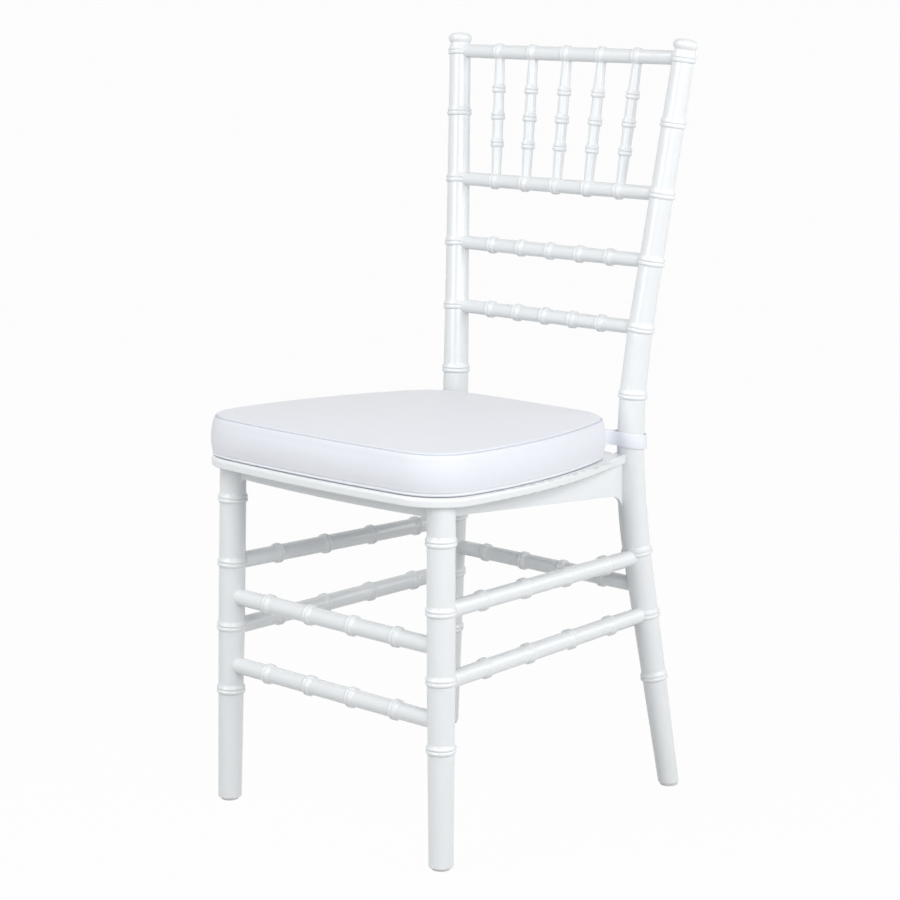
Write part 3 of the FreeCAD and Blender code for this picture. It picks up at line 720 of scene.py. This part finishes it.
@dataclass
class SeatCushion:
    """A foam pad swollen under its cover, then skinned with rings of faces that follow the sewn seams."""

    nodes: dict[str, bpy.types.Object]
    cloth: bpy.types.Material
    plane: SeatPlane = SeatPlane()
    centre: tuple[float, float] = (0.0, -44 * MM)
    sides: int = 432
    voxel: float = 5 * MM
    pressure: float = 4.0
    last_frame: int = 20
    swell_cap: float = 2.5 * MM
    held_base: float = 1.5 * MM
    held_seam: float = 4 * MM
    held_share: float = 0.94
    rest_height: float = 0.3 * MM
    rest_border: float = 14 * MM
    rest_shares: tuple[float, ...] = (0.0, 0.3, 0.6, 0.8, 0.92, 1.0)
    welt_height: float = 2.5 * MM
    welt_radius: float = 1.6 * MM
    welt_sink: float = 0.85
    welt_turns: tuple[float, ...] = (-90, -60, -30, 0, 30, 60)
    low_seam: float = 4.4 * MM
    low_seam_depth: float = 0.4 * MM
    wall_foot: float = 8 * MM
    wall_tuck: float = 0.9 * MM
    wall_shoulder: float = 39 * MM
    wall_steps: int = 11
    shoulder_inset: float = 3.3 * MM
    top_seam: float = 47.8 * MM
    top_seam_depth: float = 1.6 * MM
    top_seam_slant: float = 0.7
    seam_width: float = 0.75 * MM
    near_seam: tuple[float, ...] = (0.25, 0.5, 0.8, 1.2, 1.7, 2.5, 3.6, 5.2, 7.0)
    pucker_reach: float = 7 * MM
    pucker_length: float = 16 * MM
    pucker_depth: float = 0.25 * MM
    rim_shares: tuple[float, float] = (0.94, 0.9)
    crown_edge: float = 4.8 * MM
    crown_edge_rise: float = 1.3 * MM
    crown_share: float = 0.62
    crown_rows: tuple[float, ...] = (
        0.94, 0.92, 0.9, 0.87, 0.82, 0.76, 0.69, 0.61, 0.52, 0.42, 0.31, 0.2, 0.1, 0.04, 0.0
    )
    neighbour_weights: tuple[float, ...] = (1.0, 0.93, 0.75, 0.52, 0.31, 0.16, 0.07)

    def build(self) -> bpy.types.Object:
        """Makes the cushion's skin.

        Returns:
            The skin, which stands for the cover and the foam.
        """
        pad = copy_of(self.nodes["cushion_foam"], "pad")
        pad.data.transform(self.plane.matrix.inverted())
        apply_modifier(pad, "REMESH", mode="VOXEL", voxel_size=self.voxel)
        apply_modifier(pad, "SMOOTH", factor=0.5, iterations=6)
        self.swell(pad)
        tree = tree_of(pad)
        bpy.data.objects.remove(pad)
        skin = self.skin(tree)
        skin.data.transform(self.plane.matrix)
        settle(skin, "cushion_skin", self.cloth)
        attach(skin, "cushion")
        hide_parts("cushion_cover", "cushion_foam")
        LOG.info("made cushion_skin, %d faces", len(skin.data.polygons))
        return skin

    def swell(self, pad: bpy.types.Object) -> None:
        """Blows the pad up a little under its seams with a cloth simulation, and keeps the result.

        Args:
            pad: the remeshed pad, in the seat's own coordinates.
        """
        start = [vertex.co.copy() for vertex in pad.data.vertices]
        pins = pad.vertex_groups.new(name="seams")
        pins.add(self.held_points(pad), 1.0, "REPLACE")
        only(pad)
        cloth = pad.modifiers.new("swell", "CLOTH")
        cloth.settings.quality = 5
        cloth.settings.mass = 0.2
        cloth.settings.tension_stiffness = 20
        cloth.settings.compression_stiffness = 20
        cloth.settings.bending_stiffness = 0.8
        cloth.settings.use_pressure = True
        cloth.settings.uniform_pressure_force = self.pressure
        cloth.settings.effector_weights.gravity = 0
        cloth.settings.vertex_group_mass = pins.name
        cloth.point_cache.frame_start = 1
        cloth.point_cache.frame_end = self.last_frame
        scene = bpy.context.scene
        for frame in range(1, self.last_frame + 1):
            scene.frame_set(frame)
        bpy.ops.object.modifier_apply(modifier=cloth.name)
        scene.frame_set(1)
        furthest = 0.0
        for vertex, was in zip(pad.data.vertices, start):
            step = vertex.co - was
            furthest = max(furthest, step.length)
            if step.length > self.swell_cap:
                vertex.co = was + step.normalized() * self.swell_cap
        LOG.info("swelled the pad by up to %.1f mm, kept to %.1f mm", furthest / MM, self.swell_cap / MM)

    def held_points(self, pad: bpy.types.Object) -> list[int]:
        """Finds the points of the pad that don't swell.

        Args:
            pad: the remeshed pad, in the seat's own coordinates.

        Returns:
            The numbers of the points on its base and along its top seam.
        """
        rim = self.rim_radius(tree_of(pad))
        held = []
        for vertex in pad.data.vertices:
            place = vertex.co
            angle = math.atan2(place.y - self.centre[1], place.x - self.centre[0])
            share = math.hypot(place.x - self.centre[0], place.y - self.centre[1]) / rim(angle)
            at_top_seam = abs(place.z - self.top_seam) < self.held_seam and share > self.held_share
            if place.z < self.low_seam + self.held_base or at_top_seam:
                held.append(vertex.index)
        return held

    def place(self, angle: float, radius: float, height: float) -> Vector:
        """The place in a direction and at a distance from the cushion's middle, at a height."""
        x, y = self.centre
        return Vector((x + math.cos(angle) * radius, y + math.sin(angle) * radius, height))

    def wall_radius(self, tree: BVHTree, angle: float, level: float) -> float:
        """Measures how far the pad's wall lies from the middle.

        Args:
            tree: the pad's surface.
            angle: the direction from the middle.
            level: the height.

        Returns:
            The distance, in metres.
        """
        start = Vector((*self.centre, level))
        heading = Vector((math.cos(angle), math.sin(angle), 0.0))
        return (tree.ray_cast(start, heading)[0] - start).length

    def rim_radius(self, tree: BVHTree, steps: int = 720) -> Callable[[float], float]:
        """Measures how far the pad's wall lies from the middle, half-way up and all round.

        Args:
            tree: the pad's surface.
            steps: directions that are measured.

        Returns:
            A function from an angle to a radius in metres.
        """
        level = 0.5 * (self.low_seam + self.top_seam)
        found = [self.wall_radius(tree, 2 * math.pi * k / steps, level) for k in range(steps)]

        def radius(angle: float) -> float:
            """Finds the radius in a direction, between the measured ones.

            Args:
                angle: the direction from the middle.

            Returns:
                The radius in metres.
            """
            place = (angle / (2 * math.pi)) % 1.0 * steps
            low = int(place) % steps
            return found[low] + (found[(low + 1) % steps] - found[low]) * (place - int(place))

        return radius

    def even_angles(self, tree: BVHTree, steps: int = 4000) -> list[float]:
        """Finds directions that part the cushion's outline into equal lengths.

        Args:
            tree: the pad's surface.
            steps: points of the outline between which lengths are added up.

        Returns:
            One angle for each ring of faces.
        """
        radius = self.rim_radius(tree)
        turns = [2 * math.pi * k / steps for k in range(steps + 1)]
        points = [Vector((math.cos(turn), math.sin(turn))) * radius(turn) for turn in turns]
        lengths = [0.0]
        for before, after in zip(points, points[1:]):
            lengths.append(lengths[-1] + (after - before).length)
        angles = []
        at = 0
        for side in range(self.sides):
            length = lengths[-1] * side / self.sides
            while lengths[at + 1] < length:
                at += 1
            share = (length - lengths[at]) / (lengths[at + 1] - lengths[at])
            angles.append(turns[at] + share * (turns[at + 1] - turns[at]))
        return angles

    def skin(self, tree: BVHTree) -> bpy.types.Object:
        """Wraps the pad with faces, in rows that follow its seams.

        Args:
            tree: the swollen pad's surface.

        Returns:
            The skin, in the seat's own coordinates.
        """
        angles = self.even_angles(tree)
        rims = [self.crown_rim(tree, angle)[0] for angle in angles]
        level = sum(rims) / len(rims)
        outlines = self.evened([self.outline(tree, angle, level) for angle in angles])
        rows = len(outlines[0])
        bpy.ops.object.select_all(action="DESELECT")
        bpy.ops.mesh.primitive_grid_add(x_subdivisions=self.sides, y_subdivisions=rows - 1, size=1.0)
        skin = bpy.context.object
        for number, vertex in enumerate(skin.data.vertices):
            row, column = divmod(number, self.sides + 1)
            side = column % self.sides
            vertex.co = self.place(angles[side], *outlines[side][row])
        merge_doubles(skin)
        face_outwards(skin)
        return skin

    def evened(self, outlines: list[Outline]) -> list[Outline]:
        """Averages each outline with its neighbours, which takes out the steps of the remeshed pad.

        Args:
            outlines: the outlines in order round the cushion.

        Returns:
            The averaged outlines.
        """
        reach = len(self.neighbour_weights) - 1
        total = sum(self.neighbour_weights) * 2.0 - self.neighbour_weights[0]
        evened = []
        for number, outline in enumerate(outlines):
            radii = [0.0] * len(outline)
            heights = [0.0] * len(outline)
            for step in range(-reach, reach + 1):
                weight = self.neighbour_weights[abs(step)] / total
                for row, (radius, height) in enumerate(outlines[(number + step) % len(outlines)]):
                    radii[row] += weight * radius
                    heights[row] += weight * height
            evened.append(list(zip(radii, heights)))
        return evened

    def outline(self, tree: BVHTree, angle: float, level: float) -> Outline:
        """Follows the skin in one direction, from the middle of its base to the middle of its crown.

        Args:
            tree: the swollen pad's surface.
            angle: the direction from the middle.
            level: the mean height of the pad's crown at its rim.

        Returns:
            The radius and height of the outline's points, the same number in every direction.
        """
        out = Vector((math.cos(angle), math.sin(angle), 0.0))
        foot = self.wall_radius(tree, angle, self.wall_foot)
        shoulder = self.wall_radius(tree, angle, self.wall_shoulder)
        top_rim = shoulder - self.shoulder_inset
        lump = noise(out * (top_rim / self.pucker_length)) * self.pucker_depth
        points = self.base_points(foot - self.wall_tuck)
        points += self.wall_points(tree, angle, foot, shoulder, lump)
        return points + self.crown_points(tree, angle, top_rim, lump, level)

    def base_points(self, low_rim: float) -> Outline:
        """Follows the flat base, its lift to the rim, and the welt that is sewn round it.

        Args:
            low_rim: the radius of the base's rim.

        Returns:
            The radius and height of the points.
        """
        flat = low_rim - self.rest_border
        points = [(flat * share, self.rest_height) for share in self.rest_shares]
        for turn in self.welt_turns:
            out = math.cos(math.radians(turn)) * self.welt_radius
            rise = math.sin(math.radians(turn)) * self.welt_radius
            points.append((low_rim + out - self.welt_sink * self.welt_radius, self.welt_height + rise))
        return points

    def wall_points(self, tree: BVHTree, angle: float, foot: float, shoulder: float, lump: float) -> Outline:
        """Follows the wall, from the welt's seam to the top seam.

        Args:
            tree: the swollen pad's surface.
            angle: the direction from the middle.
            foot: the wall's radius where it starts to tuck under.
            shoulder: the wall's radius where it starts to round over.
            lump: how far the seams pucker here.

        Returns:
            The radius and height of the points.
        """
        near = [step * MM for step in self.near_seam]
        low = self.low_seam + near[-1]
        high = self.top_seam - near[-1]
        heights = [self.low_seam] + [self.low_seam + step for step in near]
        heights += [low + (high - low) * k / self.wall_steps for k in range(1, self.wall_steps)]
        heights += [self.top_seam - step for step in reversed(near)] + [self.top_seam]
        points = []
        for height in heights:
            if height < self.wall_foot:
                share = (self.wall_foot - height) / (self.wall_foot - self.low_seam)
                radius = foot - self.wall_tuck * share**2
            elif height > self.wall_shoulder:
                share = (height - self.wall_shoulder) / (self.top_seam - self.wall_shoulder)
                radius = shoulder - self.shoulder_inset * share**2
            else:
                radius = self.wall_radius(tree, angle, height)
            low_draw = self.draw(height - self.low_seam, self.low_seam_depth, lump)
            top_draw = self.top_seam_slant * self.draw(self.top_seam - height, self.top_seam_depth, lump)
            points.append((radius - low_draw - top_draw, height - top_draw))
        return points

    def crown_height(self, tree: BVHTree, angle: float, radius: float) -> float:
        """The height of the pad's crown in a direction and at a distance from its middle."""
        down = Vector((0.0, 0.0, -1.0))
        return tree.ray_cast(self.place(angle, radius, 1.0), down)[0].z

    def crown_rim(self, tree: BVHTree, angle: float) -> tuple[float, float]:
        """Follows the pad's crown to its rim, as if it ran on evenly there.

        Args:
            tree: the swollen pad's surface.
            angle: the direction from the middle.

        Returns:
            The height at the rim, and the fall over the whole radius at the slope near the rim.
        """
        rim = self.wall_radius(tree, angle, self.wall_shoulder) - self.shoulder_inset
        outer, inner = self.rim_shares
        outer_height = self.crown_height(tree, angle, rim * outer)
        fall = (self.crown_height(tree, angle, rim * inner) - outer_height) / (outer - inner)
        return outer_height - fall * (1.0 - outer), fall

    def crown_points(self, tree: BVHTree, angle: float, top_rim: float, lump: float, level: float) -> Outline:
        """Follows the crown, from the top seam to the middle.

        Args:
            tree: the swollen pad's surface.
            angle: the direction from the middle.
            top_rim: the top seam's radius.
            lump: how far the seams pucker here.
            level: the mean height of the pad's crown at its rim, from which all outlines rise to one middle.

        Returns:
            The radius and height of the points.
        """
        rim_height, fall = self.crown_rim(tree, angle)
        gaps = [step * MM for step in self.near_seam]
        gaps += [top_rim * (1.0 - share) for share in self.crown_rows]
        points = []
        for gap in gaps:
            share = 1.0 - gap / top_rim
            if share > self.rim_shares[0]:
                height = rim_height + fall * (1.0 - share)
            else:
                height = self.crown_height(tree, angle, top_rim * share)
            base = level + (rim_height - level) * share**2
            edge = max(0.0, 1.0 - gap / self.crown_edge)
            rise = self.crown_share * (height - base) + self.crown_edge_rise * (1.0 - edge**2)
            draw = self.top_seam_slant * self.draw(gap, self.top_seam_depth, lump)
            points.append((top_rim * share - draw, self.top_seam + rise - draw))
        return points

    def draw(self, gap: float, depth: float, lump: float) -> float:
        """How far a seam draws the cloth in at a distance: a narrow crease, and slight puckers beside it."""
        crease = depth * math.exp(-((gap / self.seam_width) ** 2))
        return crease + lump * math.exp(-((gap / self.pucker_reach) ** 2))


@dataclass
class CushionStrap:
    """A webbing strap from a rear corner of the cushion round a back post and back onto itself."""

    side: Side
    webbing: bpy.types.Material
    post_axis: tuple[float, float] = (144.5 * MM, 173.9 * MM)
    heading: float = 51.4
    ring_radius: float = 18.3 * MM
    ring_steps: int = 24
    throat_radius: float = 14 * MM
    throat_steps: int = 8
    nose: float = 46 * MM
    half_width: float = 9.2 * MM
    ring_share: float = 0.95
    tilt: float = 0.126
    tilt_pivot: float = -2 * MM
    thickness: float = 1.7 * MM
    lap: float = 0.55
    edge_radius: float = 0.5 * MM

    @property
    def towards(self) -> Vector:
        """The way from the post to the cushion's corner, on plan."""
        turn = math.radians(self.heading)
        return Vector((-self.side.value * math.cos(turn), -math.sin(turn), 0.0))

    def post(self, level: float) -> Vector:
        """The post's middle, at a height."""
        return Vector((self.side.value * self.post_axis[0], self.post_axis[1], level))

    def path(self, level: float) -> list[Vector]:
        """Lays out the middle line: in along the tab, out round the throat, round the post, and back.

        Args:
            level: the height of the line.

        Returns:
            The line's points, from one end on the tab to the other.
        """
        across = Vector((-self.towards.y, self.towards.x, 0.0))
        part = self.lap * self.thickness
        throat = math.sqrt((self.ring_radius + self.throat_radius) ** 2 - (part + self.throat_radius) ** 2)
        touch = math.atan2(part + self.throat_radius, throat)
        half = [(self.nose, part)]
        for step in range(self.throat_steps + 1):
            turn = (math.pi / 2 - touch) * step / self.throat_steps
            along = throat - self.throat_radius * math.sin(turn)
            half.append((along, part + self.throat_radius * (1.0 - math.cos(turn))))
        for step in range(1, self.ring_steps + 1):
            turn = touch + (math.pi - touch) * step / self.ring_steps
            half.append((self.ring_radius * math.cos(turn), self.ring_radius * math.sin(turn)))
        whole = half + [(along, -aside) for along, aside in reversed(half[:-1])]
        return [self.post(level) + self.towards * along + across * aside for along, aside in whole]

    def band(self, points: list[Vector]) -> bpy.types.Object:
        """Makes an upright band along a line, as wide as the strap and without thickness.

        Args:
            points: the line's points.

        Returns:
            The band, as a mesh.
        """
        bpy.ops.object.select_all(action="DESELECT")
        bpy.ops.curve.primitive_bezier_curve_add(location=(0, 0, 0))
        line = bpy.context.object
        line.data.splines.clear()
        line.data.dimensions = "3D"
        spline = line.data.splines.new("POLY")
        spline.points.add(len(points) - 1)
        for target, point in zip(spline.points, points):
            target.co = (*point, 1.0)
        line.data.extrude = self.half_width
        only(line)
        bpy.ops.object.convert(target="MESH")
        return bpy.context.object

    def lean(self, strap: bpy.types.Object, level: float) -> None:
        """Narrows the strap round the post and tips it, so that it runs down from the cushion.

        Args:
            strap: the level strap.
            level: the height of its middle line.
        """
        for vertex in strap.data.vertices:
            along = (vertex.co - self.post(level)).dot(self.towards)
            near_tab = min(1.0, max(0.0, (along - self.ring_radius) / (self.nose - self.ring_radius)))
            width = self.ring_share + (1.0 - self.ring_share) * near_tab
            vertex.co.z = level + (vertex.co.z - level) * width + self.tilt * (along - self.tilt_pivot)

    def build(self) -> bpy.types.Object:
        """Makes the strap.

        Returns:
            The strap, which stands for its plain solid.
        """
        node = f"cushion_strap_{self.side.label}"
        low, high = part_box(node)
        level = 0.5 * (low.z + high.z)
        points = self.path(level)
        strap = self.band(points)
        apply_modifier(strap, "SOLIDIFY", thickness=self.thickness, offset=0.0)
        apply_modifier(strap, "BEVEL", width=self.edge_radius, segments=3, limit_method="ANGLE")
        self.lean(strap, level)
        face_outwards(strap)
        settle(strap, f"strap_{self.side.label}", self.webbing, smooth_angle=40.0)
        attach(strap, "cushion")
        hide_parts(node)
        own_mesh(strap)
        LOG.info("made strap_%s", self.side.label)
        return strap


# Studio

def looking_at(
    aim: tuple[float, float, float], azimuth: float, elevation: float, distance: float
) -> dict[str, object]:
    """Places something that looks at a point.

    Args:
        aim: the point.
        azimuth: degrees from the chair's front towards its right side.
        elevation: degrees above level.
        distance: metres from the point.

    Returns:
        The location and rotation with which an operator adds it.
    """
    aside = math.radians(azimuth)
    above = math.radians(elevation)
    back = Vector((
        math.sin(aside) * math.cos(above),
        -math.cos(aside) * math.cos(above),
        math.sin(above),
    ))
    return {"location": Vector(aim) + back * distance, "rotation": (math.pi / 2 - above, 0.0, aside)}


@dataclass(frozen=True)
class Softbox:
    """A square soft lamp, placed by its direction from the middle of the chair."""

    name: str
    azimuth: float
    elevation: float
    power: float
    distance: float = 2.6
    size: float = 1.4
    aim: tuple[float, float, float] = (0.0, 0.0, 0.5)

    def build(self) -> None:
        """Makes the lamp."""
        place = looking_at(self.aim, self.azimuth, self.elevation, self.distance)
        bpy.ops.object.light_add(type="AREA", **place)
        lamp = bpy.context.object
        lamp.name = self.name
        lamp.data.shape = "SQUARE"
        lamp.data.size = self.size
        lamp.data.energy = self.power


@dataclass
class Studio:
    """Floor and backdrop, softboxes, sky and camera."""

    paper: bpy.types.Material
    sky: SkyFinish = SkyFinish()
    softboxes: tuple[Softbox, ...] = (
        Softbox("key_right", 62.0, 20.0, 25.0),
        Softbox("side_right", 100.0, 20.0, 25.0),
        Softbox("high_left", -28.0, 50.0, 26.0),
        Softbox("low_front", -2.0, 18.0, 20.0),
        Softbox("rear_right", 136.0, 20.0, 11.0),
    )
    floor_size: float = 14.0
    wall_height: float = 8.0
    sweep_radius: float = 3.0
    sweep_steps: int = 24
    azimuth: float = 42.678
    elevation: float = 9.967
    distance: float = 2.9053
    aim: tuple[float, float, float] = (34.9 * MM, -28.9 * MM, 504.1 * MM)
    sensor_width: float = 36.0
    lens: float = 98.55
    shift: tuple[float, float] = (-0.0014, -0.0624)
    furthest: float = 60.0

    def build(self) -> None:
        """Makes the whole studio."""
        self.backdrop()
        bpy.context.scene.world = self.sky.build()
        for softbox in self.softboxes:
            softbox.build()
        self.camera()
        bpy.context.scene.view_settings.view_transform = "Standard"
        LOG.info("made the studio")

    def backdrop(self) -> None:
        """Makes a floor that sweeps up behind the chair in one curve, square to the camera."""
        bpy.ops.object.select_all(action="DESELECT")
        bpy.ops.mesh.primitive_plane_add(size=self.floor_size, location=(0.0, 0.0, 0.0))
        floor = bpy.context.object
        bpy.ops.object.mode_set(mode="EDIT")
        bpy.ops.mesh.select_mode(type="EDGE")
        bpy.ops.mesh.select_all(action="DESELECT")
        bpy.ops.object.mode_set(mode="OBJECT")
        for edge in floor.data.edges:
            ends = [floor.data.vertices[k].co for k in edge.vertices]
            edge.select = all(end.y > 0.0 for end in ends)
        bpy.ops.object.mode_set(mode="EDIT")
        bpy.ops.mesh.extrude_region_move(TRANSFORM_OT_translate={"value": (0.0, 0.0, self.wall_height)})
        bpy.ops.object.mode_set(mode="OBJECT")
        floor.rotation_euler.z = math.radians(self.azimuth)
        sweep = {"width": self.sweep_radius, "segments": self.sweep_steps}
        apply_modifier(floor, "BEVEL", limit_method="ANGLE", **sweep)
        settle(floor, "studio_floor", self.paper)

    def camera(self) -> None:
        """Makes the photograph's camera."""
        place = looking_at(self.aim, self.azimuth, self.elevation, self.distance)
        bpy.ops.object.camera_add(**place)
        camera = bpy.context.object
        camera.name = "photo_camera"
        camera.data.sensor_width = self.sensor_width
        camera.data.lens = self.lens
        camera.data.shift_x, camera.data.shift_y = self.shift
        camera.data.clip_end = self.furthest
        bpy.context.scene.camera = camera


def main() -> None:
    """Builds the studio, the chair and the cushion."""
    logging.basicConfig(level=logging.INFO, format="%(message)s")
    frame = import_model()
    nodes = frame["nodes"]
    Studio(BackdropFinish().build()).build()
    ChairFrame(nodes, ResinFinish().build(), SteelFinish().build(), NylonFinish().build()).build()
    SeatCushion(nodes, CushionFinish().build()).build()
    webbing = WebbingFinish().build()
    for side in Side:
        CushionStrap(side, webbing).build()


if __name__ == "__main__":
    main()
